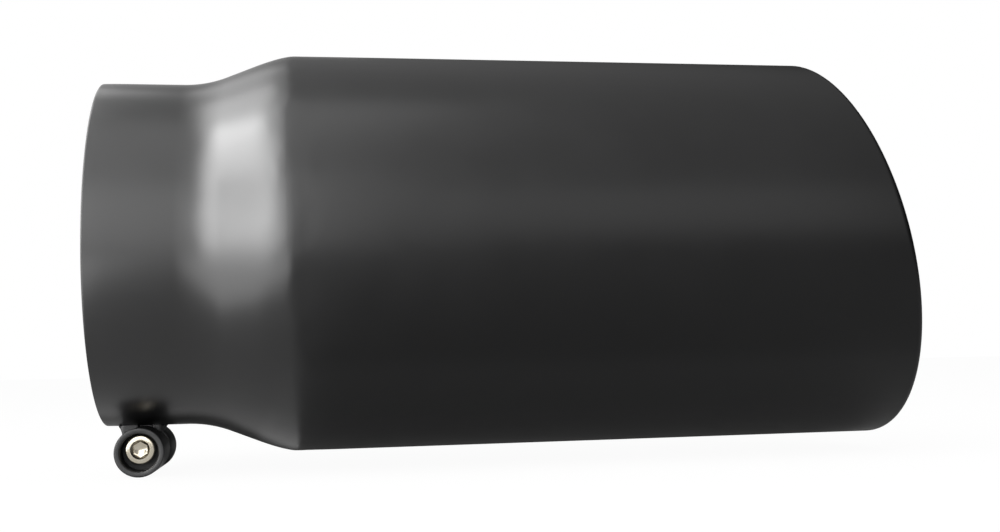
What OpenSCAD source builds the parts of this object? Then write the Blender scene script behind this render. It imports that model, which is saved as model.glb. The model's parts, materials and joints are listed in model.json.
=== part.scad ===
// Bolt-on exhaust tip for a 5 inch tail pipe
//
// A flared inlet sleeve is butt welded to a 6 inch outlet tube. The tube's end is cut at an angle
// and its edge is rolled inwards to a rounded lip. The sleeve is slit underneath, a barrel is
// welded on each side of the slit, and one socket head screw draws the barrels together, so that
// the sleeve grips the pipe.
//
// Millimetres. The origin is the centre of the sleeve's open end. +X runs along the tube to the
// outlet and +Z is up, so the clamp and the long side of the angled end are straight down.

/* [Inlet sleeve] */
// Bore of the sleeve, a slip fit on the pipe
inlet_bore_d = 127.2; // [115:0.1:135]
// Thickness of the sheet that the sleeve and the tube are made of
sheet_t = 1.2; // [0.9:0.1:1.6]
// From the open end to the corner that the neck and the cone would make without their blend
neck_corner_x = 37.5; // [37:0.5:60]
// Angle of the cone to the axis
cone_angle = 22; // [18:0.5:28]
// Outer radius of the hollow blend between the neck and the cone
flare_blend_r = 43; // [20:1:43]
// Outer radius of the rounded shoulder where the cone meets the tube
shoulder_blend_r = 33; // [24:1:40]

/* [Outlet tube] */
// How far the flare lifts the sleeve's outer face to the tube's; 11.4 makes the 6 inch outlet
flare_rise = 11.4; // [7:0.1:20]
// From the open end of the sleeve to the tip of the lip, on the long side
overall_length = 304.8; // [230:0.1:420]
// Lean of the angled end from square
slash_angle = 12; // [0:0.1:20]
// Outer radius of the rolled lip
lip_roll_r = 3.05; // [2.4:0.05:6]
// Length of the straight edge that the roll turns back inside the tube
lip_return = 8; // [2:0.5:16]
// Length of the straight edge that the roll begins with, where it joins the wall
lip_lap = 2; // [1:0.5:5]

/* [Joint weld] */
// Width of the ground weld between the sleeve and the tube
joint_weld_w = 5; // [3:0.5:6]
// Height of the weld's root bead inside the bore
joint_root_h = 0.5; // [0.2:0.1:1]

/* [Slit] */
// Width of the slit, which is also the gap between the barrels
slit_w = 5.5; // [3:0.1:8]
// How far the slit runs on past the barrels
slit_run_on = 10; // [4:0.5:12]

/* [Barrels] */
// From the sleeve's open end to the near side of the barrels
barrel_setback = 4.7; // [2:0.1:8]
// Length of each barrel
barrel_length = 20; // [16:0.5:26]
// Wall of the screw's barrel round its counterbore
barrel_wall = 2; // [1.5:0.1:3]
// Gap at the line where a barrel comes nearest to the sleeve
barrel_seat_gap = 0.1; // [0:0.05:0.3]
// Depth of the counterbore for the screw's head
counterbore_depth = 9; // [7:0.5:12]
// Chamfer on the barrels' edges and on the counterbore's mouth
barrel_chamfer = 0.4; // [0.2:0.1:0.8]

/* [Barrel welds] */
// Reach of the inlet side beads along the sleeve, from the barrels' centre line
inlet_bead_reach = 9; // [8.4:0.1:9.6]
// Reach of the cone side beads along the sleeve, from the barrels' centre line
cone_bead_reach = 7.2; // [6.8:0.1:8]
// Thickness of a bead along the sleeve
bead_t = 3.9; // [2:0.1:4.2]
// Length of each bead along its barrel
bead_length = 5.6; // [4:0.1:12]
// From the slit's edge to the start of a bead
bead_start = 0.4; // [0:0.1:2]

/* [Clamp screw] */
// Diameter of the screw's shank
screw_d = 6; // [5:0.5:6.5]
// Length of the screw under its head
screw_length = 40; // [34:1:50]
// Diameter of the screw's head
head_d = 10.7; // [9:0.1:12]
// Height of the screw's head
head_h = 6; // [5:0.5:6.5]
// Width across the flats of the hexagon socket
socket_af = 5; // [4:0.5:5]
// Depth of the hexagon socket
socket_depth = 3; // [2:0.1:3.5]
// Chamfer that leads into the hexagon socket, measured outwards from its corners
socket_lead_in = 0.6; // [0.1:0.05:0.7]
// Gap round the head in its counterbore
head_clearance = 1.5; // [1.1:0.1:1.7]
// Gap round the shank in the screw's barrel
shank_clearance = 0.3; // [0.2:0.05:0.5]
// Gap round the shank in the threaded barrel
thread_play = 0.05; // [0.05:0.01:0.1]
// How far the screw lies above the barrels' centre line, towards the sleeve
screw_rise = 0.9; // [0:0.1:1]

/* [Hidden] */
$fn = 240;

// Steps along each rounded stretch of a profile
flare_steps = 12;
shoulder_steps = 10;
root_steps = 8;
roll_steps = 18;
bead_steps = 8;
// A cutter runs this far past what it cuts
past = 1;

sleeve_bore_r = inlet_bore_d / 2;
sleeve_r = sleeve_bore_r + sheet_t;
tube_r = sleeve_r + flare_rise;

// The neck runs straight to flare_x. The shoulder ends at tube_x, where the weld ends and the tube begins.
flare_x = neck_corner_x - flare_blend_r * tan(cone_angle / 2);
cone_corner_x = neck_corner_x + flare_rise / tan(cone_angle);
tube_x = cone_corner_x + shoulder_blend_r * tan(cone_angle / 2);

// The lip's centre line lies at roll_x on the axis, and slash_slope leans it.
slash_slope = tan(slash_angle);
roll_x = overall_length - slash_slope * (tube_r - lip_roll_r)
         - lip_roll_r * sqrt(1 + slash_slope * slash_slope);

counterbore_d = head_d + 2 * head_clearance;
barrel_d = counterbore_d + 2 * barrel_wall;
barrel_r = barrel_d / 2;
barrel_x = barrel_setback + barrel_r;
barrel_z = -(sleeve_r + barrel_seat_gap + barrel_r);
barrel_end_y = slit_w / 2 + barrel_length;
slit_end_x = barrel_x + barrel_r + slit_run_on;

screw_z = barrel_z + screw_rise;
head_seat_y = -barrel_end_y + counterbore_depth;
head_chamfer = head_d * 0.05;
point_chamfer = screw_d * 0.12;
socket_corner_r = socket_af / 2 / cos(30);

// A bead's outer face is a shallow hollow from the sleeve down to the barrel.
bead_drop = barrel_r * 0.52;
bead_lean = 1.2;
bead_hollow = 0.7;

coat_black = [0.10, 0.10, 0.11];
weld_black = [0.16, 0.16, 0.17];
barrel_black = [0.13, 0.13, 0.14];
bare_steel = [0.78, 0.77, 0.72];

// Points of an arc round a centre, from one angle to another
function arc(centre, r, from, to, steps) =
    [for (i = [0:steps]) let (a = from + (to - from) * i / steps)
        centre + r * [cos(a), sin(a)]];

// Points of a shallow arc between two points, with its middle pushed out to the right of the way
function bow(from, to, rise, steps) =
    let (way = to - from, out = [way[1], -way[0]] / norm(way))
    [for (i = [0:steps]) let (s = i / steps) from + way * s + out * rise * 4 * s * (1 - s)];

function reversed(points) = [for (i = [len(points) - 1:-1:0]) points[i]];

// One face of the flared sheet, as points of distance along the axis and radius. The depth below
// the outer face is 0 or the sheet's thickness.
function flare_arc(depth) =
    arc([flare_x, sleeve_r + flare_blend_r], flare_blend_r + depth, -90, -90 + cone_angle, flare_steps);

// The shoulder's face between two distances back from the tube's start
function shoulder_arc(depth, back_from, back_to, steps) =
    let (r = shoulder_blend_r - depth)
    arc([tube_x, tube_r - shoulder_blend_r], r, 90 + asin(back_from / r), 90 + asin(back_to / r), steps);

function cone_end_back(depth) = (shoulder_blend_r - depth) * sin(cone_angle);

function sleeve_face(depth) = concat(
    [[0, sleeve_r - depth]],
    flare_arc(depth),
    shoulder_arc(depth, cone_end_back(depth), joint_weld_w, shoulder_steps));

// Turns a profile of distance and radius round the X axis
module turned() {
    rotate([0, 90, 0]) rotate_extrude() rotate([0, 0, 90]) mirror([0, 1, 0]) children();
}

// A child drawn on the XY plane and rising along Z is laid along +Y at the barrels
module along_barrels(y, z) {
    translate([barrel_x, y, z]) rotate([-90, 0, 0]) children();
}

// The solid outline of the sleeve's neck, which the beads are cut back from
module neck_outline() {
    translate([-past, 0, 0]) rotate([0, 90, 0]) cylinder(r = sleeve_r, h = flare_x + past);
}

module inlet_sleeve() {
    color(coat_black) difference() {
        turned() polygon(concat(sleeve_face(0), reversed(sleeve_face(sheet_t))));
        slit();
    }
}

// The slit is cut right through the sheet underneath and has a round end
module slit() {
    translate([0, 0, -sleeve_r - past]) {
        translate([-past, -slit_w / 2, 0])
            cube([slit_end_x - slit_w / 2 + past, slit_w, sleeve_r]);
        translate([slit_end_x - slit_w / 2, 0, 0]) cylinder(d = slit_w, h = sleeve_r);
    }
}

module outlet_tube() {
    color(coat_black) {
        tube_wall();
        slashed() turned() polygon(lip_profile());
    }
}

// The plain tube, cut off where the roll begins
module tube_wall() {
    difference() {
        translate([tube_x, 0, 0]) rotate([0, 90, 0]) cylinder(r = tube_r, h = overall_length);
        translate([tube_x - past, 0, 0]) rotate([0, 90, 0])
            cylinder(r = tube_r - sheet_t, h = overall_length + 2 * past);
        slashed() translate([roll_x, -2 * tube_r, -2 * tube_r]) cube(4 * tube_r);
    }
}

// The roll, the edge that it turns back and its lap in the wall, as if the end were square
function lip_profile() =
    let (centre = [roll_x, tube_r - lip_roll_r], inner_r = lip_roll_r - sheet_t,
         edge_x = roll_x - lip_return)
    concat(
        [[roll_x - lip_lap, tube_r]],
        arc(centre, lip_roll_r, 90, -90, roll_steps),
        [[edge_x, centre[1] - lip_roll_r], [edge_x, centre[1] - inner_r]],
        arc(centre, inner_r, -90, 90, roll_steps),
        [[roll_x - lip_lap, tube_r - sheet_t]]);

// Sliding each point along the axis by its height leans the lip, and it still follows the round tube
module slashed() {
    multmatrix([[1, 0, -slash_slope, 0], [0, 1, 0, 0], [0, 0, 1, 0], [0, 0, 0, 1]]) children();
}

// Ground flush with the shoulder outside, with a low root bead inside
module joint_weld() {
    outer = shoulder_arc(0, joint_weld_w, 0, root_steps);
    inner = shoulder_arc(sheet_t, joint_weld_w, 0, 1);
    color(weld_black) turned() polygon(concat(outer, bow(inner[1], inner[0], -joint_root_h, root_steps)));
}

module barrel_blank() {
    rotate_extrude() polygon([
        [0, 0],
        [barrel_r - barrel_chamfer, 0],
        [barrel_r, barrel_chamfer],
        [barrel_r, barrel_length - barrel_chamfer],
        [barrel_r - barrel_chamfer, barrel_length],
        [0, barrel_length]]);
}

module screw_barrel() {
    color(barrel_black) difference() {
        along_barrels(-barrel_end_y, barrel_z) barrel_blank();
        along_barrels(-barrel_end_y - past, barrel_z) cylinder(d = counterbore_d, h = counterbore_depth + past);
        along_barrels(-barrel_end_y - barrel_chamfer, barrel_z)
            cylinder(d1 = counterbore_d + 4 * barrel_chamfer, d2 = counterbore_d, h = 2 * barrel_chamfer);
        along_barrels(head_seat_y - past, screw_z)
            cylinder(d = screw_d + 2 * shank_clearance, h = barrel_length + past);
    }
}

module threaded_barrel() {
    color(barrel_black) difference() {
        along_barrels(slit_w / 2, barrel_z) barrel_blank();
        along_barrels(slit_w / 2 - past, screw_z)
            cylinder(d = screw_d + 2 * thread_play, h = barrel_length + 2 * past);
    }
}

// One bead between the sleeve and a barrel, at the side of the barrel that faces +X
module barrel_bead(reach) {
    toe = [reach, -sleeve_r];
    foot = [reach - bead_lean, -sleeve_r - bead_drop];
    above = sleeve_r - sqrt(pow(sleeve_r, 2) - pow(slit_w / 2 + bead_start + bead_length, 2)) + past;
    inside = reach - bead_t;
    difference() {
        intersection() {
            translate([0, slit_w / 2 + bead_start, 0]) rotate([90, 0, 0]) mirror([0, 0, 1])
                linear_extrude(bead_length)
                    polygon(concat(
                        [[inside, toe[1] + above], [reach, toe[1] + above]],
                        bow(toe, foot, bead_hollow, bead_steps),
                        [[inside, foot[1]]]));
            translate([inside, slit_w / 2 + bead_start + bead_length / 2, -sleeve_r - bead_drop - past])
                linear_extrude(bead_drop + above + 2 * past) bead_plan();
        }
        translate([-barrel_x, 0, 0]) neck_outline();
        translate([0, 0, barrel_z]) rotate([-90, 0, 0]) cylinder(r = barrel_r, h = barrel_end_y);
    }
}

// Seen from below, the bead's outer corners are round
module bead_plan() {
    corner = bead_t / 2;
    translate([0, -bead_length / 2]) square([corner, bead_length]);
    translate([0, -bead_length / 2 + corner]) square([bead_t, bead_length - 2 * corner]);
    for (side = [-1, 1]) translate([corner, side * (bead_length / 2 - corner)]) circle(corner);
}

module barrel_beads() {
    translate([barrel_x, 0, 0]) {
        barrel_bead(cone_bead_reach);
        mirror([1, 0, 0]) barrel_bead(inlet_bead_reach);
    }
}

module screw_barrel_welds() {
    color(weld_black) mirror([0, 1, 0]) barrel_beads();
}

module threaded_barrel_welds() {
    color(weld_black) barrel_beads();
}

// The head stands on the counterbore's floor, and the shank ends past the threaded barrel
module clamp_screw() {
    head_r = head_d / 2;
    shank_r = screw_d / 2;
    color(bare_steel) along_barrels(head_seat_y - head_h, screw_z) difference() {
        rotate_extrude() polygon([
            [0, 0],
            [head_r - head_chamfer, 0],
            [head_r, head_chamfer],
            [head_r, head_h],
            [shank_r, head_h],
            [shank_r, head_h + screw_length - point_chamfer],
            [shank_r - point_chamfer, head_h + screw_length],
            [0, head_h + screw_length]]);
        translate([0, 0, -past]) rotate([0, 0, 30]) cylinder(r = socket_corner_r, h = socket_depth + past, $fn = 6);
        translate([0, 0, -socket_lead_in])
            cylinder(r1 = socket_corner_r + 2 * socket_lead_in, r2 = socket_corner_r - socket_lead_in,
                     h = 3 * socket_lead_in);
    }
}

inlet_sleeve();
outlet_tube();
joint_weld();
screw_barrel();
threaded_barrel();
screw_barrel_welds();
threaded_barrel_welds();
clamp_screw();
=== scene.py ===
# %% [markdown]
# # A black exhaust tip
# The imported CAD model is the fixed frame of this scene: it says where each piece is and how large it is.
# Each piece is modelled again here with what a CAD solid leaves out, such as the pull of a weld, the
# ripples of a bead and a screw's thread, and then it gets its finish. Lengths are in metres.

import json
import math

import bmesh
import bpy
from mathutils import Matrix, Vector


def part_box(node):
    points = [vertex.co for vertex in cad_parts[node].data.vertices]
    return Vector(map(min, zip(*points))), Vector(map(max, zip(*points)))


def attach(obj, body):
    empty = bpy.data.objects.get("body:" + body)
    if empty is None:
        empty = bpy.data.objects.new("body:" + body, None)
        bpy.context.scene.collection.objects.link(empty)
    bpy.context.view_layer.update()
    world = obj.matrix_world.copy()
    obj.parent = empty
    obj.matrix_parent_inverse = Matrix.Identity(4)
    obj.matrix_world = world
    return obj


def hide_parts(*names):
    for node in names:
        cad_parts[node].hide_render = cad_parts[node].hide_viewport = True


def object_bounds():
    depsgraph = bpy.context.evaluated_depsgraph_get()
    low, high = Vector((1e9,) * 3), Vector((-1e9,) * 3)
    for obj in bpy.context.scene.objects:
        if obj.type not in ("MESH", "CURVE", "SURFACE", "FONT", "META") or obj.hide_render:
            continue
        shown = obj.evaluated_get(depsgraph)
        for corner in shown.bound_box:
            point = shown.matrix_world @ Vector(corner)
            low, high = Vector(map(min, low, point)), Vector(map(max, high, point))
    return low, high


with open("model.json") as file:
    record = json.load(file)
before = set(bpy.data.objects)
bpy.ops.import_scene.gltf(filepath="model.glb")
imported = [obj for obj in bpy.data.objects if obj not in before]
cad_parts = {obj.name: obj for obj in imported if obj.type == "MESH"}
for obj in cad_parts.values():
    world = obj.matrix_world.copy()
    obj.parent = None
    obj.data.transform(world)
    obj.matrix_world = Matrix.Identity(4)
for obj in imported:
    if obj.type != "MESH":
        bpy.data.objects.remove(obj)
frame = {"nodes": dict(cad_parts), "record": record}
cad_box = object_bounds()
print("CAD box", [[round(value, 4) for value in corner] for corner in cad_box])

# %% [markdown]
# ## Sizes
# The tip is rolled from thin sheet, so few sizes describe it. What the frame can tell is measured on its
# nodes, and the rest repeats the real sizes of the sheet, the blends and the screw. This way a piece
# always lands on the node that it stands for.

# %% Sizes of the sheet metal
MM = 0.001
sheet = 1.2 * MM
sleeve_r = frame["record"]["mounts"][0]["dims"]["r_mm"] * MM + sheet
tube_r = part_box("outlet_tube")[1].y
tube_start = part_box("outlet_tube")[0].x
weld_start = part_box("inlet_sleeve")[1].x
cone_angle = math.radians(22)
neck_corner = 37.5 * MM
flare_blend = 43 * MM
neck_end = neck_corner - flare_blend * math.tan(cone_angle / 2)
print("neck ends at", round(neck_end / MM, 2), "mm, tube starts at", round(tube_start / MM, 2), "mm")

# %% Sizes of the angled lip
overall_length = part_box("outlet_tube")[1].x
slope = math.tan(math.radians(12))
roll_r = 3.05 * MM
lip_return = 8 * MM
roll_x = overall_length - slope * (tube_r - roll_r) - roll_r * math.hypot(1, slope)
print("the roll's centre line crosses the axis at", round(roll_x / MM, 2), "mm")

# %% Sizes of the clamp
slit_width = 5.5 * MM
slit_end = 32.4 * MM
barrel_low, barrel_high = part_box("screw_barrel")
barrel_r = (barrel_high.z - barrel_low.z) / 2
barrel_x = (barrel_low.x + barrel_high.x) / 2
barrel_z = (barrel_low.z + barrel_high.z) / 2
counterbore_r = 6.85 * MM
counterbore_depth = 9 * MM
edge_round = 0.4 * MM
screw_rise = 0.9 * MM
screw_z = barrel_z + screw_rise
head_top, screw_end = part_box("clamp_screw")[0].y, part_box("clamp_screw")[1].y
head_r = 5.35 * MM
head_height = 6 * MM
head_seat = head_top + head_height
shank_r = 3 * MM
print("barrel radius", round(barrel_r / MM, 2), "mm")
print("screw from", round(head_top / MM, 2), "to", round(screw_end / MM, 2), "mm")

# %% [markdown]
# ## Working in edit mode
# An operator acts on whatever is selected, and the loaded nodes come in selected. So every piece starts
# from nothing selected, and its faces and edges are then picked by their place. A few small helpers do
# this, and another finishes a modifier off the way that the Apply button does.

# %% Helpers for selection and modifiers
# Two places that are nearer to each other than this count as one
same_place = 0.01 * MM


def pick_piece(piece):
    bpy.ops.object.select_all(action="DESELECT")
    piece.select_set(True)
    bpy.context.view_layer.objects.active = piece


def start_edit(piece):
    pick_piece(piece)
    bpy.ops.object.mode_set(mode="EDIT")


def select_only(piece, kind, wanted):
    """Selects the vertices, edges or faces of the edited piece whose middle passes the test."""
    modes = ("verts", "edges", "faces")
    bpy.ops.mesh.select_all(action="DESELECT")
    bpy.context.tool_settings.mesh_select_mode = [mode == kind for mode in modes]
    mesh = bmesh.from_edit_mesh(piece.data)
    count = 0
    for item in getattr(mesh, kind):
        if kind == "verts":
            middle = item.co
        elif kind == "edges":
            middle = (item.verts[0].co + item.verts[1].co) / 2
        else:
            middle = item.calc_center_median()
        if wanted(middle, item):
            item.select_set(True)
            count += 1
    mesh.select_flush_mode()
    bmesh.update_edit_mesh(piece.data)
    return count


def finish_modifier(piece, kind, **settings):
    pick_piece(piece)
    modifier = piece.modifiers.new(kind.title(), kind)
    for name, value in settings.items():
        setattr(modifier, name, value)
    bpy.ops.object.modifier_apply(modifier=modifier.name)


def name_piece(name):
    """Names the primitive that was just added, and puts its place into its mesh."""
    piece = bpy.context.object
    piece.name = name
    piece.data.name = name
    bpy.ops.object.transform_apply(location=True, rotation=True, scale=True)
    return piece


# %% [markdown]
# ## The turned sheet
# The sleeve and the tube are one sheet thick everywhere, so only the outer face is drawn and the Solidify
# modifier gives the wall. A face like this could be a profile that is spun round the axis. Here a ring is
# extruded along the axis and resized at each step instead, because the same steps then work on the
# slanted ring of the outlet.

# %% Draw a ring along the axis
RING = 192


def add_ring(name, x, radius):
    bpy.ops.object.select_all(action="DESELECT")
    bpy.ops.mesh.primitive_circle_add(vertices=RING, radius=radius, fill_type="NOTHING",
                                      location=(x, 0, 0), rotation=(0, math.pi / 2, 0))
    return name_piece(name)


def draw_ring(here, there, slanted=False):
    """Extrudes the selected ring from one (x, radius) to the next."""
    ratio = there[1] / here[1]
    bpy.ops.mesh.extrude_edges_move(TRANSFORM_OT_translate={"value": (there[0] - here[0], 0, 0)})
    along = ratio if slanted else 1
    bpy.ops.transform.resize(value=(along, ratio, ratio), center_override=(there[0], 0, 0))


def draw_rings(points, slanted=False):
    for here, there in zip(points, points[1:]):
        draw_ring(here, there, slanted)


def between(start, end, steps):
    return [start + (end - start) * step / steps for step in range(1, steps + 1)]


def face_outwards(piece):
    """Turns the faces of an open shell so that the ones on its outer wall point away from the axis."""
    bpy.ops.mesh.select_all(action="SELECT")
    bpy.ops.mesh.normals_make_consistent(inside=False)
    bpy.ops.object.mode_set(mode="OBJECT")
    outermost = max(piece.data.polygons, key=lambda face: math.hypot(face.center.y, face.center.z))
    if outermost.normal.y * outermost.center.y + outermost.normal.z * outermost.center.z < 0:
        piece.data.flip_normals()
    print(piece.name, "has", len(piece.data.polygons), "faces so far")


# %% [markdown]
# ## Pull of the weld
# Heat pulls thin sheet out of true beside a weld, and grinding the bead flush leaves it a little uneven.
# It is a tenth of a millimetre or so, but a glossy black coat shows it as a wavy edge in the
# reflections. A bump map would do for the eye, but real displacement also bends the outline. A cloud
# texture moves the three neighbours alike, and a vertex group lets the move fade away from the weld.
# Nearly all of it goes inwards, so the tube never grows past its real size. A second move along the
# axis lets the line of the weld wander, as a hand-held grinder leaves it.

# %% Displace the sheet beside the weld
weld_middle = (weld_start + tube_start) / 2
pull_reach = 9 * MM
pull_height = 0.22 * MM
pull_size = 11 * MM
weld_wander = 1.8 * MM
weld_pull = bpy.data.textures.new("weld pull", "CLOUDS")
weld_pull.noise_scale = pull_size
weld_pull.noise_depth = 1


def pull_by_weld(piece):
    group = piece.vertex_groups.new(name="weld pull")
    for vertex in piece.data.vertices:
        away = (vertex.co.x - weld_middle) / pull_reach
        group.add([vertex.index], math.exp(-away * away), "REPLACE")
    finish_modifier(piece, "DISPLACE", texture=weld_pull, texture_coords="LOCAL", strength=pull_height,
                    mid_level=0.8, vertex_group="weld pull")
    finish_modifier(piece, "DISPLACE", texture=weld_pull, texture_coords="LOCAL", strength=weld_wander,
                    direction="X", mid_level=0.5, vertex_group="weld pull")


# %% [markdown]
# ## Inlet sleeve
# The sleeve slips over the tail pipe. A press has flared it: the neck runs into a hollow blend, then a
# cone, then a shoulder that turns late and tightly into the tube. Its outer face is drawn ring by ring
# with fine steps on both blends, because a black coat shows each facet as a band. Its free end draws in
# by a tenth of a millimetre, as a cut end of a pressed tube does.
#
# The shoulder isn't a plain arc. Its lean to the axis is written down at a few places, in millimetres and
# degrees, and its radius is summed up from those in small steps, backwards from the tube.

# %% Turn of the shoulder
shoulder_turns = [(56, 22), (60, 19.6), (64, 16), (66.6, 13.2), (67.8, 9.5), (68.8, 4.5), (69.6, 2),
                  (70.8, 0.8), (72.13, 0)]
shoulder_mm = 56.13
weld_mm = round(weld_start / MM, 2)
tube_mm = round(tube_start / MM, 2)
print("shoulder from", shoulder_mm, "mm, weld from", weld_mm, "mm, tube from", tube_mm, "mm")


def shoulder_lean(x):
    for (near_x, near_turn), (far_x, far_turn) in zip(shoulder_turns, shoulder_turns[1:]):
        if x <= far_x:
            share = (x - near_x) / (far_x - near_x)
            return math.radians(near_turn + (far_turn - near_turn) * share)
    return 0.0


def shoulder_points(first, last, steps):
    """The shoulder's outer face between two places on the axis, which are in millimetres."""
    fine = 0.01
    heights = {}
    radius = tube_r / MM
    count = round((tube_start / MM - shoulder_turns[0][0]) / fine)
    for step in range(count + 1):
        x = tube_start / MM - step * fine
        heights[round(x, 2)] = radius
        radius -= fine * math.tan(shoulder_lean(x - fine / 2))
    return [(x * MM, heights[round(x, 2)] * MM) for x in [first] + between(first, last, steps)]


# %% Draw the sleeve
def flare_point(turn):
    return (neck_end + flare_blend * math.sin(turn), sleeve_r + flare_blend * (1 - math.cos(turn)))


shoulder = shoulder_points(shoulder_mm, weld_mm, 22)
cone_foot, cone_top = flare_point(cone_angle), shoulder[0]
# How far the free end draws in, by the distance from the end, both in millimetres
end_draw_in = [(0, 0.13), (0.7, 0.11), (2, 0.075), (4, 0.035), (6, 0.01), (9, 0)]
sleeve_outline = [(x * MM, sleeve_r - inwards * MM) for x, inwards in end_draw_in]
sleeve_outline += [(x, sleeve_r) for x in between(sleeve_outline[-1][0], neck_end, 4)]
sleeve_outline += [flare_point(turn) for turn in between(0, cone_angle, 16)]
sleeve_outline += list(zip(between(cone_foot[0], cone_top[0], 6), between(cone_foot[1], cone_top[1], 6)))
sleeve_outline += shoulder[1:]

inlet_sleeve = add_ring("inlet_sleeve_shell", *sleeve_outline[0])
start_edit(inlet_sleeve)
bpy.ops.mesh.select_all(action="SELECT")
draw_rings(sleeve_outline)
face_outwards(inlet_sleeve)
pull_by_weld(inlet_sleeve)
finish_modifier(inlet_sleeve, "SOLIDIFY", thickness=sheet, offset=-1, use_even_offset=True)
print("sleeve", [round(value / MM, 2) for value in inlet_sleeve.dimensions], "mm")

# %% [markdown]
# The slit underneath lets the sleeve close on the pipe. A saw or a laser cuts it, so it has clean square
# walls and a round end. The cutter is a block whose two far corners are bevelled until they meet in a
# half circle, and a Boolean modifier takes it away.

# %% Cut the slit
def cut_away(piece, cutter):
    finish_modifier(piece, "BOOLEAN", operation="DIFFERENCE", solver="EXACT", object=cutter)
    bpy.data.objects.remove(cutter, do_unlink=True)


past = 2 * MM
bpy.ops.object.select_all(action="DESELECT")
bpy.ops.mesh.primitive_cube_add(size=1, location=((slit_end - past) / 2, 0, -sleeve_r),
                                scale=(slit_end + past, slit_width, 4 * past))
slit_cutter = name_piece("slit_cutter")
start_edit(slit_cutter)
select_only(slit_cutter, "edges", lambda middle, edge: middle.x > slit_end - same_place
            and abs(middle.y) > slit_width / 4)
bpy.ops.mesh.bevel(offset=slit_width / 2 - same_place / 10, segments=16, affect="EDGES")
bpy.ops.object.mode_set(mode="OBJECT")
cut_away(inlet_sleeve, slit_cutter)
print("sleeve after the cut has", len(inlet_sleeve.data.polygons), "faces")

# %% [markdown]
# A coat never sits on a perfectly sharp edge, and a sawn edge is filed before it is coated. Only the free
# edges are rounded, at the inlet and along the slit. The edge at the weld stays square, because the
# weld goes on from it.

# %% Round the free edges of the sheet
sheet_round = 0.25 * MM


def round_edges(piece, wanted, width, segments=2):
    """Rounds the edges that turn sharply and pass the test."""
    start_edit(piece)
    sharp = math.radians(50)
    count = select_only(piece, "edges", lambda middle, edge: len(edge.link_faces) == 2
                        and edge.calc_face_angle() > sharp and wanted(middle))
    bpy.ops.mesh.bevel(offset=width, segments=segments, affect="EDGES", clamp_overlap=True)
    bpy.ops.object.mode_set(mode="OBJECT")
    print(piece.name, "has", count, "edges rounded")


round_edges(inlet_sleeve, lambda middle: middle.x < slit_end + past, sheet_round)

# %% [markdown]
# ## Outlet tube with its rolled lip
# The lip takes the most skill on the real part: the tube is cut at an angle, then its edge is rolled
# inwards, so that the end looks thick and nobody is cut by it. A plane bisects the tube at the angle and
# leaves a slanted ring at its end. From there each step of the roll is an extrude and a resize that
# also scales along the axis, so every ring keeps the slant and stays true to the round tube. The rings
# near the weld are close together, so that its pull bends them smoothly.

# %% Draw the tube and cut it at the angle
far_end = overall_length + 2 * roll_r
tube_outline = [(tube_start, tube_r)]
stretches = [(tube_start + pull_reach / 3, 10), (tube_start + 3 * pull_reach, 16), (far_end, 3)]
for stretch_end, rings in stretches:
    tube_outline += [(x, tube_r) for x in between(tube_outline[-1][0], stretch_end, rings)]
outlet_tube = add_ring("outlet_tube_shell", tube_start, tube_r)
start_edit(outlet_tube)
bpy.ops.mesh.select_all(action="SELECT")
draw_rings(tube_outline)
bpy.ops.mesh.select_all(action="SELECT")
bpy.ops.mesh.bisect(plane_co=(roll_x, 0, 0), plane_no=(1, 0, slope), clear_outer=True)
ring_count = select_only(outlet_tube, "edges", lambda middle, edge: len(edge.link_faces) == 1
                         and middle.x > tube_start + pull_reach)
print("the slanted ring has", ring_count, "edges")

# %% Roll the lip
roll_steps = 20
roll_outline = [(roll_x, tube_r)]
for turn in between(0, math.pi, roll_steps):
    roll_outline.append((roll_x + roll_r * math.sin(turn), tube_r - roll_r * (1 - math.cos(turn))))
roll_outline += [(x, tube_r - 2 * roll_r) for x in between(roll_x, roll_x - lip_return, 2)]
draw_rings(roll_outline, slanted=True)
face_outwards(outlet_tube)
pull_by_weld(outlet_tube)
finish_modifier(outlet_tube, "SOLIDIFY", thickness=sheet, offset=-1, use_even_offset=True)
round_edges(outlet_tube, lambda middle: middle.x > tube_start + pull_reach, sheet_round)
print("tube", [round(value / MM, 2) for value in outlet_tube.dimensions], "mm")

# %% [markdown]
# ## Joint weld
# The sleeve and the tube are butt welded and the outside is ground flush, so the ring carries the rounded
# shoulder on. Inside, the root of the weld stands a little proud. The outer face is drawn first and
# pulled while it is still an open shell, so that it moves just as its neighbours do. Then it is drawn
# on back along the inside, and a bridge closes it.

# %% Draw the weld's ring
root_height = 0.5 * MM
weld_face = shoulder_points(weld_mm, tube_mm, 25)
root_start = weld_face[0]
root_lean = math.radians(14)
inner_start = (root_start[0] + sheet * math.sin(root_lean), root_start[1] - sheet * math.cos(root_lean))
weld_inside = [(tube_start, tube_r)]
for share in [0] + between(0, 1, 8):
    rise = root_height * 4 * share * (1 - share)
    weld_inside.append((tube_start + (inner_start[0] - tube_start) * share,
                        tube_r - sheet + (inner_start[1] - tube_r + sheet) * share - rise))
joint_weld = add_ring("joint_weld_ring", *root_start)
start_edit(joint_weld)
bpy.ops.mesh.select_all(action="SELECT")
draw_rings(weld_face)
face_outwards(joint_weld)
pull_by_weld(joint_weld)

# %% Close the weld on its inner side
start_edit(joint_weld)
select_only(joint_weld, "edges", lambda middle, edge: len(edge.link_faces) == 1 and middle.x > weld_middle)
draw_rings(weld_inside)
select_only(joint_weld, "edges", lambda middle, edge: len(edge.link_faces) == 1)
bpy.ops.mesh.bridge_edge_loops()
face_outwards(joint_weld)
print("weld", [round(value / MM, 2) for value in joint_weld.dimensions], "mm")

# %% [markdown]
# ## Barrels
# Each barrel is a short piece of turned bar. The near one has a deep counterbore for the screw's head, and
# the far one holds the thread. A cylinder gets the counterbore by insets and extrudes of its end face,
# and the screw's hole by a Boolean, because the hole is off centre: the screw sits a little nearer to
# the sleeve than the barrel's middle.

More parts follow.
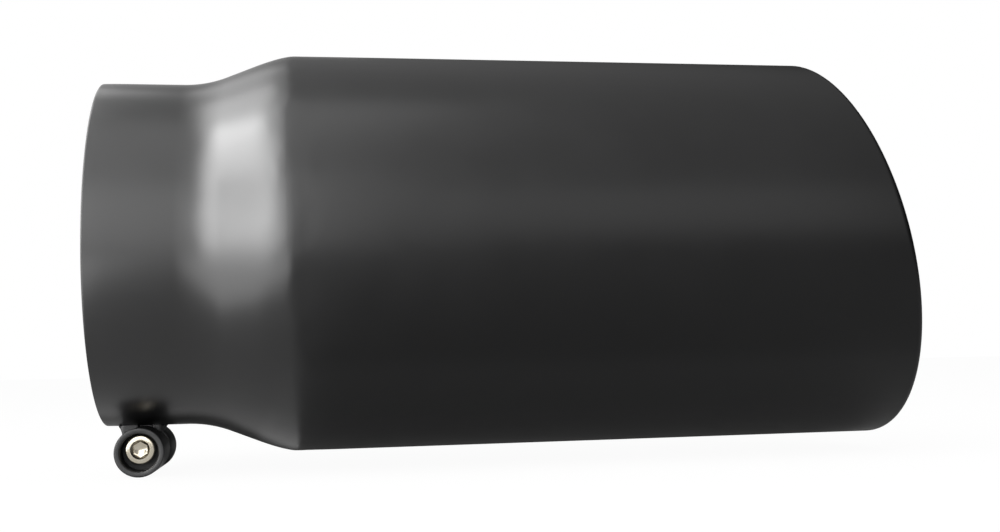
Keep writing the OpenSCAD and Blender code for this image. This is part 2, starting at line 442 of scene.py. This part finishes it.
# %% Turn a barrel
def add_bar(name, radius, start, end, height, sides=96):
    """Adds a bar that lies across the tip at this height, from one y to another."""
    bpy.ops.object.select_all(action="DESELECT")
    bpy.ops.mesh.primitive_cylinder_add(vertices=sides, radius=radius, depth=end - start,
                                        location=(barrel_x, (start + end) / 2, height),
                                        rotation=(math.pi / 2, 0, 0))
    return name_piece(name)


def turned_barrel(name, node):
    """Leaves the barrel in edit mode, with its end edges rounded."""
    low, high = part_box(node)
    piece = add_bar(name, barrel_r, low.y, high.y, barrel_z)
    start_edit(piece)
    select_only(piece, "edges", lambda middle, edge: abs(middle.y - low.y) < same_place
                or abs(middle.y - high.y) < same_place)
    bpy.ops.mesh.bevel(offset=edge_round, segments=4, affect="EDGES")
    return piece


# %% Drill a barrel
hole_round = 0.3 * MM


def drill(piece, radius, start, end):
    """Drills along the screw's line, which is a little above the barrel's own."""
    cut_away(piece, add_bar("drill", radius, start, end, screw_z, sides=64))


def round_hole(piece, radius, y):
    """Breaks the edge of the screw's hole at one end."""
    def on_rim(middle):
        off_line = math.hypot(middle.x - barrel_x, middle.z - screw_z)
        return abs(middle.y - y) < same_place and abs(off_line - radius) < 10 * same_place
    round_edges(piece, on_rim, hole_round)


# %% The screw's barrel
screw_barrel = turned_barrel("screw_barrel_body", "screw_barrel")
mouth_y = barrel_low.y
select_only(screw_barrel, "faces", lambda middle, face: middle.y < mouth_y + same_place
            and face.normal.y < -0.99)
bpy.ops.mesh.inset(thickness=barrel_r - edge_round - counterbore_r - edge_round, depth=0)
bpy.ops.mesh.inset(thickness=edge_round / 2, depth=-edge_round / 4)
bpy.ops.mesh.inset(thickness=edge_round / 2, depth=-3 * edge_round / 4)
bpy.ops.mesh.extrude_region_move(TRANSFORM_OT_translate={"value": (0, counterbore_depth - edge_round, 0)})
bpy.ops.object.mode_set(mode="OBJECT")
clear_r = shank_r + 0.3 * MM
drill(screw_barrel, clear_r, mouth_y + counterbore_depth - past, barrel_high.y + past)
round_hole(screw_barrel, clear_r, barrel_high.y)
print("screw barrel has", len(screw_barrel.data.polygons), "faces")

# %% The threaded barrel
threaded_barrel = turned_barrel("threaded_barrel_body", "threaded_barrel")
bpy.ops.object.mode_set(mode="OBJECT")
thread_hole_r = shank_r + 0.05 * MM
far_low, far_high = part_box("threaded_barrel")
drill(threaded_barrel, thread_hole_r, far_low.y - past, far_high.y + past)
round_hole(threaded_barrel, thread_hole_r, far_low.y)
round_hole(threaded_barrel, thread_hole_r, far_high.y)
print("threaded barrel has", len(threaded_barrel.data.polygons), "faces")

# %% [markdown]
# ## Weld beads at the barrels
# Each barrel is tacked to the sleeve by two short fat beads. The CAD solids already lie in the corner
# between the two round pieces, so a merged copy of them is the start. Molten metal creeps into a narrow
# gap, so the inner side of the bead nearest to the inlet is moved on under the sleeve. A voxel remesh
# melts the edges together, smoothing rounds them as surface tension does, and a wave of weights along
# the bead lifts the ripples that each dip of the rod leaves.

# %% Melt the beads
ripple_pitch = 1.3 * MM
ripple_height = 0.22 * MM
bead_creep = 3 * MM
creep_from = 7.6 * MM
melt_size = 0.17 * MM


def weld_beads(name, node):
    bpy.ops.object.select_all(action="DESELECT")
    piece = frame["nodes"][node].copy()
    piece.data = piece.data.copy()
    piece.name = name
    piece.data.name = name
    bpy.context.collection.objects.link(piece)
    piece.parent = None
    piece.matrix_world = Matrix.Identity(4)
    start_edit(piece)
    bpy.ops.mesh.select_all(action="SELECT")
    bpy.ops.mesh.remove_doubles(threshold=same_place / 10)
    select_only(piece, "verts", lambda middle, vertex: creep_from < middle.x < barrel_x)
    bpy.ops.transform.translate(value=(bead_creep, 0, 0))
    bpy.ops.object.mode_set(mode="OBJECT")
    finish_modifier(piece, "REMESH", mode="VOXEL", voxel_size=melt_size)
    finish_modifier(piece, "SMOOTH", factor=0.5, iterations=14)
    group = piece.vertex_groups.new(name="ripples")
    for vertex in piece.data.vertices:
        group.add([vertex.index], abs(math.sin(math.pi * vertex.co.y / ripple_pitch)), "REPLACE")
    finish_modifier(piece, "DISPLACE", strength=ripple_height, mid_level=0, vertex_group="ripples")
    print(name, len(piece.data.polygons), "faces")
    return piece


screw_beads = weld_beads("screw_barrel_beads", "screw_barrel_welds")
thread_beads = weld_beads("threaded_barrel_beads", "threaded_barrel_welds")

# %% [markdown]
# ## Clamp screw
# A socket head screw has a round head with a hexagon recess, a plain shank and a thread near its point.
# The head is a bevelled cylinder, and the recess is a six-sided cutter with a cone above it for the
# lead-in. A drill goes in before the hexagon is broached, so its point leaves a shallow cone in the
# floor. The thread could be a texture, but its end shows behind the far barrel, so it is modelled.

# %% Make the head and the shank
thread_pitch = 1 * MM
thread_length = 24 * MM
thread_start = screw_end - thread_length
thread_depth = 0.61 * MM
core_r = shank_r - thread_depth
point_chamfer = 0.72 * MM
head_round = 0.7 * MM
seat_round = 0.15 * MM
# The head, the shank and the core run this far into each other
overlap = 0.5 * MM
head = add_bar("clamp_screw_body", head_r, head_top, head_seat, screw_z)
round_edges(head, lambda middle: middle.y < head_top + same_place, head_round, segments=8)
round_edges(head, lambda middle: middle.y > head_seat - same_place, seat_round)
shank = add_bar("shank", shank_r, head_seat - overlap, thread_start, screw_z)
core = add_bar("core", core_r, thread_start - overlap, screw_end, screw_z)
round_edges(core, lambda middle: middle.y > screw_end - same_place, point_chamfer / 4, segments=1)
print("head, shank and core are ready")

# %% Cut the hexagon recess
socket_flats = 5 * MM
socket_corner = socket_flats / 2 / math.cos(math.radians(30))
socket_depth = 3 * MM
socket_floor = head_top + socket_depth
lead_in = 0.6 * MM
drill_r = 2.2 * MM
drill_tip = 0.9 * MM


def add_cone(name, start_r, end_r, start, end):
    """Adds a cone along the screw's line, from one y to another."""
    bpy.ops.object.select_all(action="DESELECT")
    bpy.ops.mesh.primitive_cone_add(vertices=96, radius1=start_r, radius2=end_r, depth=end - start,
                                    location=(barrel_x, (start + end) / 2, screw_z),
                                    rotation=(-math.pi / 2, 0, 0))
    return name_piece(name)


hexagon = add_bar("hexagon", socket_corner, head_top - socket_depth, socket_floor, screw_z, sides=6)
corner_heights = [abs(vertex.co.z - screw_z) for vertex in hexagon.data.vertices]
print("a corner of the hexagon points up:", abs(max(corner_heights) - socket_corner) < same_place)
lead_cone = add_cone("lead_cone", socket_corner + 2 * lead_in, socket_corner - lead_in,
                     head_top - lead_in, head_top + 2 * lead_in)
drill_start = socket_floor - same_place
drill_point = add_cone("drill_point", drill_r, 0, drill_start, drill_start + drill_tip)
for cutter in (hexagon, lead_cone, drill_point):
    cut_away(head, cutter)

# %% [markdown]
# The Screw modifier sweeps a short profile round the axis and along it at once. One pitch of the thread
# is drawn as a line of four points, from root to crest to root, and the sweep merges each turn with
# the next. The ends are closed with a face, and the crest is trimmed to the point's chamfer.

# %% Sweep the thread
def draw_thread_profile():
    bpy.ops.object.select_all(action="DESELECT")
    bpy.ops.mesh.primitive_plane_add(size=1 * MM)
    piece = name_piece("thread")
    start_edit(piece)
    bpy.ops.mesh.select_all(action="SELECT")
    bpy.ops.mesh.merge(type="CENTER")
    bpy.ops.mesh.select_all(action="SELECT")
    bpy.ops.transform.translate(value=(core_r, 0, 0))
    flank = thread_pitch * 7 / 16
    crest = thread_pitch / 8
    for outwards, along in ((thread_depth, flank), (0, crest), (-thread_depth, flank)):
        bpy.ops.mesh.extrude_vertices_move(TRANSFORM_OT_translate={"value": (outwards, 0, along)})
    bpy.ops.object.mode_set(mode="OBJECT")
    return piece


thread = draw_thread_profile()
turns = int(thread_length / thread_pitch) - 1
finish_modifier(thread, "SCREW", axis="Z", angle=2 * math.pi, screw_offset=thread_pitch, iterations=turns,
                steps=48, render_steps=48, use_merge_vertices=True, merge_threshold=same_place)
thread.rotation_euler = (-math.pi / 2, 0, 0)
thread.location = (barrel_x, thread_start, screw_z)
pick_piece(thread)
bpy.ops.object.transform_apply(location=True, rotation=True, scale=True)
print("thread", [round(value / MM, 2) for value in thread.dimensions], "mm")

# %% Close and trim the thread, and join the screw
thinnest = core_r * 0.98
for vertex in thread.data.vertices:
    off_x, off_z = vertex.co.x - barrel_x, vertex.co.z - screw_z
    radius = math.hypot(off_x, off_z)
    near_point = shank_r - max(0, vertex.co.y - (screw_end - point_chamfer))
    limit = min(radius, max(near_point, thinnest))
    vertex.co.x = barrel_x + off_x * limit / radius
    vertex.co.z = screw_z + off_z * limit / radius
start_edit(thread)
bpy.ops.mesh.select_all(action="DESELECT")
bpy.context.tool_settings.mesh_select_mode = (True, False, False)
bpy.ops.mesh.select_non_manifold()
bpy.ops.mesh.fill()
bpy.ops.mesh.select_all(action="SELECT")
bpy.ops.mesh.normals_make_consistent(inside=False)
bpy.ops.object.mode_set(mode="OBJECT")
bpy.ops.object.select_all(action="DESELECT")
for part in (thread, shank, core, head):
    part.select_set(True)
bpy.context.view_layer.objects.active = head
bpy.ops.object.join()
clamp_screw = head
print("screw", [round(value / MM, 2) for value in clamp_screw.dimensions], "mm")

# %% [markdown]
# ## Smooth shading
# Turned and rolled pieces are smooth, but their cut edges are not. Shading by angle keeps both: faces that
# meet at less than the angle blend, and the rest stay crisp.

# %% Shade by angle
pieces = {
    "inlet_sleeve": inlet_sleeve,
    "outlet_tube": outlet_tube,
    "joint_weld": joint_weld,
    "screw_barrel": screw_barrel,
    "threaded_barrel": threaded_barrel,
    "screw_barrel_welds": screw_beads,
    "threaded_barrel_welds": thread_beads,
    "clamp_screw": clamp_screw,
}
for piece in pieces.values():
    pick_piece(piece)
    bpy.ops.object.shade_smooth_by_angle(angle=math.radians(35))
    print(piece.name, sum(len(face.vertices) - 2 for face in piece.data.polygons), "triangles")

# %% [markdown]
# ## Building a material
# A material is a tree of nodes. One helper adds a node, sets its options and sockets and makes its links,
# so that each finish below reads as a short list. Hex colours are how a maker writes them, and Blender
# works in linear light, so one function converts them.

# %% Helpers for materials
def linear(hex_colour):
    colour = []
    for start in (1, 3, 5):
        value = int(hex_colour[start:start + 2], 16) / 255
        colour.append(value / 12.92 if value <= 0.04045 else ((value + 0.055) / 1.055) ** 2.4)
    return colour + [1]


def add_node(tree, kind, options=None, values=None, links=None):
    """Adds a node, sets its options and socket values, and links other sockets into it."""
    made = tree.nodes.new(kind)
    for name, value in (options or {}).items():
        setattr(made, name, value)
    for name, value in (values or {}).items():
        made.inputs[name].default_value = value
    for name, source in (links or {}).items():
        tree.links.new(source, made.inputs[name])
    return made


def new_material(name):
    material = bpy.data.materials.new(name)
    material.use_nodes = True
    material.node_tree.nodes.clear()
    return material, material.node_tree


def per_metre(size):
    """The scale of a noise whose grains are about this far apart."""
    return 1 / size


# %% [markdown]
# ## Satin black powder coat
# Powder is sprayed on dry and melts in an oven. It flows out almost flat, but keeps a faint orange peel
# about a millimetre and a half across, and a finer grain from the powder itself. The eye gets a soft
# reflection with a slightly broken edge. It is a plastic film, so its IOR is 1.5 and it isn't metallic.

# %% Powder coat
patch_size = 22 * MM
gloss_swing = 0.02


def powder_coat(name, colour, worn_colour, roughness, peel_size, peel_height, grain_size, grain_height,
                mirror_level=0.5):
    material, tree = new_material(name)
    place = add_node(tree, "ShaderNodeTexCoord").outputs["Object"]
    peel = add_node(tree, "ShaderNodeTexNoise", values={"Scale": per_metre(peel_size), "Detail": 1.0},
                    links={"Vector": place})
    grain = add_node(tree, "ShaderNodeTexNoise", values={"Scale": per_metre(grain_size), "Detail": 2.0},
                     links={"Vector": place})
    patches = add_node(tree, "ShaderNodeTexNoise", values={"Scale": per_metre(patch_size), "Detail": 3.0},
                       links={"Vector": place})
    shade = add_node(tree, "ShaderNodeMix", options={"data_type": "RGBA"},
                     values={"A": linear(colour), "B": linear(worn_colour)},
                     links={"Factor": patches.outputs["Fac"]})
    gloss = add_node(tree, "ShaderNodeMapRange",
                     values={"From Min": 0.3, "From Max": 0.7,
                             "To Min": roughness - gloss_swing, "To Max": roughness + gloss_swing},
                     links={"Value": patches.outputs["Fac"]})
    peel_bump = add_node(tree, "ShaderNodeBump", values={"Strength": 1.0, "Distance": peel_height},
                         links={"Height": peel.outputs["Fac"]})
    grain_bump = add_node(tree, "ShaderNodeBump", values={"Strength": 1.0, "Distance": grain_height},
                          links={"Height": grain.outputs["Fac"], "Normal": peel_bump.outputs["Normal"]})
    film = add_node(tree, "ShaderNodeBsdfPrincipled",
                    values={"IOR": 1.5, "Metallic": 0.0, "Specular IOR Level": mirror_level},
                    links={"Base Color": shade.outputs["Result"], "Roughness": gloss.outputs["Result"],
                           "Normal": grain_bump.outputs["Normal"]})
    add_node(tree, "ShaderNodeOutputMaterial", links={"Surface": film.outputs["BSDF"]})
    return material


satin_coat = powder_coat("satin_black_powder_coat", "#0d0d0e", "#111112", 0.31,
                         peel_size=1.5 * MM, peel_height=0.004 * MM,
                         grain_size=0.45 * MM, grain_height=0.002 * MM)
print("made", satin_coat.name)

# %% [markdown]
# The barrels get the same powder over rough turned bar, thinner and less flowed out. It is duller and
# grainier, and a touch lighter. The coat over the weld beads lies between the two.

# %% Coats of the barrels and the welds
barrel_coat = powder_coat("matt_black_powder_coat_on_bar", "#161617", "#202022", 0.5,
                          peel_size=0.9 * MM, peel_height=0.02 * MM,
                          grain_size=0.35 * MM, grain_height=0.012 * MM)
bead_coat = powder_coat("black_powder_coat_on_weld", "#0f0f10", "#161617", 0.42,
                        peel_size=0.8 * MM, peel_height=0.012 * MM,
                        grain_size=0.4 * MM, grain_height=0.004 * MM)
print("made", barrel_coat.name, "and", bead_coat.name)

# %% [markdown]
# Powder hardly reaches down a tube, because the charge pulls it to the rim. The inner wall gets a thin dry
# film that doesn't flow out: dark, dull and dusty, so its mirror level is lowered too. The lip and its
# turned edge still get the good coat.

# %% Thin coat inside the tube
inner_coat = powder_coat("thin_dry_powder_inside", "#171718", "#1f1f20", 0.72,
                         peel_size=1.2 * MM, peel_height=0.02 * MM,
                         grain_size=0.4 * MM, grain_height=0.02 * MM, mirror_level=0.12)
print("made", inner_coat.name)

# %% [markdown]
# ## Bare stainless steel
# The screw isn't coated. Stainless steel is a slightly warm grey metal. Cold forming leaves its head
# smooth but not polished, with faint rings from the die, and that stretches the highlights a little.
# A wave texture of scale 1 repeats twenty times in two pi metres, so its scale is worked out from that.

# %% Stainless steel
ring_pitch = math.pi * MM
stain_size = 2.5 * MM


def stainless_steel():
    material, tree = new_material("bare_stainless_steel")
    place = add_node(tree, "ShaderNodeTexCoord").outputs["Object"]
    from_axis = add_node(tree, "ShaderNodeMapping", values={"Location": (-barrel_x, 0, -screw_z)},
                         links={"Vector": place})
    rings = add_node(tree, "ShaderNodeTexWave",
                     options={"wave_type": "RINGS", "rings_direction": "Y", "wave_profile": "SIN"},
                     values={"Scale": per_metre(ring_pitch) * 2 * math.pi / 20, "Distortion": 1.5,
                             "Detail": 2.0},
                     links={"Vector": from_axis.outputs["Vector"]})
    stains = add_node(tree, "ShaderNodeTexNoise", values={"Scale": per_metre(stain_size), "Detail": 3.0},
                      links={"Vector": place})
    tint = add_node(tree, "ShaderNodeMix", options={"data_type": "RGBA"},
                    values={"A": linear("#c6c1b6"), "B": linear("#aaa08a")},
                    links={"Factor": stains.outputs["Fac"]})
    gloss = add_node(tree, "ShaderNodeMapRange", values={"To Min": 0.07, "To Max": 0.16},
                     links={"Value": stains.outputs["Fac"]})
    marks = add_node(tree, "ShaderNodeBump", values={"Strength": 1.0, "Distance": 0.002 * MM},
                     links={"Height": rings.outputs["Fac"]})
    metal = add_node(tree, "ShaderNodeBsdfPrincipled", values={"Metallic": 1.0},
                     links={"Base Color": tint.outputs["Result"], "Roughness": gloss.outputs["Result"],
                            "Normal": marks.outputs["Normal"]})
    add_node(tree, "ShaderNodeOutputMaterial", links={"Surface": metal.outputs["BSDF"]})
    return material


screw_steel = stainless_steel()
print("made", screw_steel.name)

# %% [markdown]
# ## Finishes onto pieces
# Every piece stands for the CAD node of its name, takes one finish and rides on the only body there is.

# %% Dress the pieces
finishes = {
    "inlet_sleeve": (satin_coat, "powder_coat"),
    "outlet_tube": (satin_coat, "powder_coat"),
    "joint_weld": (satin_coat, "coated_weld"),
    "screw_barrel": (barrel_coat, "coated_barrel"),
    "threaded_barrel": (barrel_coat, "coated_barrel"),
    "screw_barrel_welds": (bead_coat, "coated_weld"),
    "threaded_barrel_welds": (bead_coat, "coated_weld"),
    "clamp_screw": (screw_steel, "bare_screw"),
}
for node, piece in pieces.items():
    material, slot = finishes[node]
    piece.data.materials.clear()
    piece.data.materials.append(material)
    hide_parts(node)
    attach(piece, "root")
print(len(pieces), "pieces dressed")

# %% Dress the inner walls
def is_on_lip(middle):
    radius = math.hypot(middle.y, middle.z)
    off_wall = radius < tube_r - sheet - 0.5 * MM
    past_cut = middle.x + slope * middle.z > roll_x
    return middle.x > tube_start and (off_wall or past_cut)


def dress_inner_wall(piece):
    """Gives the thin coat to the faces that look at the axis and aren't part of the turned lip."""
    piece.data.materials.append(inner_coat)
    count = 0
    for face in piece.data.polygons:
        radius = math.hypot(face.center.y, face.center.z)
        outward = (face.normal.y * face.center.y + face.normal.z * face.center.z) / radius
        if outward < -0.5 and not is_on_lip(face.center):
            face.material_index = 1
            count += 1
    print(piece.name, "has", count, "inner faces")


for piece in (inlet_sleeve, outlet_tube, joint_weld):
    dress_inner_wall(piece)

# %% [markdown]
# ## Floor and white surroundings
# The photograph shows the tip on plain white. The floor is pale, and most of what the camera sees of it
# is a plain glow, so that it melts into the background and still keeps a faint shadow. Seen from below
# it is clear, so that the clamp can be looked at from underneath. The world is white to the camera and
# to clear glass, and dimmer as a light, so that the lamps shape the object. A photographer stands dark
# cards behind and beside a black object, or it would mirror the white and look grey. Here the white
# of the reflections is full to the left, high up in front, and fades to the right and the back.

# %% Floor
def make_floor():
    bpy.ops.object.select_all(action="DESELECT")
    bpy.ops.mesh.primitive_plane_add(size=80, location=(0, 0, cad_box[0].z))
    floor = name_piece("studio_floor")
    material, tree = new_material("pale_studio_floor")
    path = add_node(tree, "ShaderNodeLightPath")
    glow_share = add_node(tree, "ShaderNodeMath", options={"operation": "MULTIPLY"}, values={1: 0.85},
                          links={0: path.outputs["Is Camera Ray"]})
    paper = add_node(tree, "ShaderNodeBsdfDiffuse", values={"Color": linear("#c4c4c4")})
    glow = add_node(tree, "ShaderNodeEmission", values={"Color": linear("#ffffff"), "Strength": 1.12})
    mixed = add_node(tree, "ShaderNodeMixShader",
                     links={0: glow_share.outputs[0], 1: paper.outputs["BSDF"],
                            2: glow.outputs["Emission"]})
    side = add_node(tree, "ShaderNodeNewGeometry")
    clear = add_node(tree, "ShaderNodeBsdfTransparent")
    from_above = add_node(tree, "ShaderNodeMixShader",
                          links={0: side.outputs["Backfacing"], 1: mixed.outputs["Shader"],
                                 2: clear.outputs["BSDF"]})
    add_node(tree, "ShaderNodeOutputMaterial", links={"Surface": from_above.outputs["Shader"]})
    floor.data.materials.append(material)


make_floor()
print("floor at", round(cad_box[0].z / MM, 2), "mm")

# %% World
def make_world():
    world = bpy.data.worlds.new("white_studio")
    world.use_nodes = True
    tree = world.node_tree
    tree.nodes.clear()
    path = add_node(tree, "ShaderNodeLightPath")
    seen = add_node(tree, "ShaderNodeMath", options={"operation": "MAXIMUM"},
                    links={0: path.outputs["Is Camera Ray"], 1: path.outputs["Is Transmission Ray"]})
    plain = add_node(tree, "ShaderNodeMapRange", values={"To Min": 0.35, "To Max": 1.0},
                     links={"Value": seen.outputs[0]})
    direction = add_node(tree, "ShaderNodeTexCoord")
    along = add_node(tree, "ShaderNodeVectorMath", options={"operation": "DOT_PRODUCT"},
                     values={1: (-0.75, -0.42, 0.52)}, links={0: direction.outputs["Generated"]})
    towards_front = add_node(tree, "ShaderNodeMapRange",
                             values={"From Min": -0.4, "From Max": 0.85, "To Min": 0.03, "To Max": 1.0},
                             links={"Value": along.outputs["Value"]})
    strength = add_node(tree, "ShaderNodeMix", options={"data_type": "FLOAT"},
                        links={"Factor": path.outputs["Is Glossy Ray"], "A": plain.outputs["Result"],
                               "B": towards_front.outputs["Result"]})
    sky = add_node(tree, "ShaderNodeBackground", values={"Color": linear("#ffffff")},
                   links={"Strength": strength.outputs["Result"]})
    add_node(tree, "ShaderNodeOutputWorld", links={"Surface": sky.outputs["Background"]})
    bpy.context.scene.world = world


make_world()
print("made", bpy.context.scene.world.name)

# %% [markdown]
# ## Lamps
# The reflections in the photograph tell where its lamps were. The cone faces left and mirrors a wall of
# softboxes there. It is laid in strips whose far corners lie on a circle round the tube's axis, so that
# the highlight's edge runs straight round the neck. Its foot and a card on the floor let the highlight
# fade downwards. The middle of the wall stays dark, because the photograph never sees it, and the
# long tube would mirror it from the right. The neck and the tube mirror weaker panels in front, and
# their top edges weak ones behind. A black film mirrors only a twenty-fifth of what it faces, so a
# softbox has to be many times brighter than white to show. These panels are only seen in mirrors, and
# one plain lamp gives the soft light itself, so that a colour still looks as bright as it is written.

# %% A softbox
lamp_target = (0.1, 0, 0)


def from_front(around, up, distance=1.2):
    """A place at this distance from the object, by two angles in degrees from straight in front."""
    around, up = math.radians(around), math.radians(up)
    return (lamp_target[0] + distance * math.sin(around) * math.cos(up),
            -distance * math.cos(around) * math.cos(up), distance * math.sin(up))


def softbox(name, place, size, radiance, target=lamp_target, mirrored_only=True):
    """A panel lamp that faces the target. Radiance 1 shows as white in a mirror."""
    lamp = bpy.data.lights.new(name, "AREA")
    lamp.shape = "RECTANGLE"
    lamp.size, lamp.size_y = size
    lamp.energy = radiance * math.pi * size[0] * size[1]
    holder = bpy.data.objects.new(name, lamp)
    bpy.context.collection.objects.link(holder)
    turn = (Vector(place) - Vector(target)).to_track_quat("Z", "Y")
    holder.matrix_world = Matrix.Translation(place) @ turn.to_matrix().to_4x4()
    holder.visible_camera = False
    holder.visible_diffuse = not mirrored_only
    holder.visible_glossy = mirrored_only
    return holder


# %% The wall of softboxes on the left
wall_x = -0.5
key_brightness = 15.0
# Each strip has two edges across and two edges upwards
key_strips = [((-1.02, -0.83), (0.05, 0.5)), ((-0.83, -0.65), (0.05, 0.77)),
              ((-0.65, -0.45), (0.05, 0.95)), ((-0.45, 0.01), (0.45, 1.05))]
for strip_nr, ((near_y, far_y), (low_z, high_z)) in enumerate(key_strips, start=1):
    strip_y = (near_y + far_y) / 2
    strip_z = (low_z + high_z) / 2
    softbox(f"key_wall_{strip_nr}", (wall_x, strip_y, strip_z), (far_y - near_y, high_z - low_z),
            key_brightness, target=(1, strip_y, strip_z))
softbox("key_wall_foot", (-0.52, -0.725, -0.01), (0.55, 0.14), 10.5, target=(1, -0.725, -0.01))
print("the wall has", len(key_strips), "strips and a foot")

# %% Weaker softboxes, cards and the plain light
card_z = cad_box[0].z + 0.5 * MM
softbox("left_back_softbox", from_front(-101, 49), (0.72, 0.9), 5.4)
softbox("back_left_softbox", from_front(-145, 46), (0.5, 0.45), 1.6)
softbox("rim_softbox", from_front(-170, 22), (0.5, 0.4), 0.45)
softbox("front_softbox", from_front(-12, 18), (0.43, 0.95), 2.6)
softbox("front_top_softbox", from_front(-14, 64), (0.43, 1.0), 1.4)
softbox("right_front_softbox", from_front(25, 16), (0.6, 0.5), 0.55)
softbox("bright_card_on_floor", (-0.27, -0.42, card_z), (0.47, 0.75), 4.4, target=(-0.27, -0.42, 1))
softbox("card_under_cone", (0.025, -0.14, card_z), (0.09, 0.28), 0.5, target=(0.025, -0.14, 1))
softbox("card_under_tube", (0.19, -0.03, card_z), (0.28, 0.09), 0.08, target=(0.19, -0.03, 1))
softbox("plain_light", from_front(-40, 50), (1.2, 1.2), 1.8, mirrored_only=False)
print("lamps", [lamp.name for lamp in bpy.data.lights])

# %% [markdown]
# ## Camera
# The camera was found by laying the model's own outline over the photograph. It stands half a metre
# away, a little lower than the tube's axis, and looks slightly up and to the right.

# %% Camera
camera_place = (0.06973, -0.476198, -0.046117)
turn_right, look_up, tilt = math.radians(9.678), math.radians(4.794), math.radians(-1.39)
camera_data = bpy.data.cameras.new("photo_camera")
camera_data.sensor_width = 36
camera_data.lens = 43.367
camera_data.clip_start = 0.01
camera = bpy.data.objects.new("photo_camera", camera_data)
bpy.context.collection.objects.link(camera)
camera.matrix_world = (Matrix.Translation(camera_place) @ Matrix.Rotation(-turn_right, 4, "Z")
                       @ Matrix.Rotation(math.pi / 2 + look_up, 4, "X") @ Matrix.Rotation(tilt, 4, "Z"))
bpy.context.scene.camera = camera
bpy.context.scene.view_settings.view_transform = "Standard"
print("camera at", camera_place)
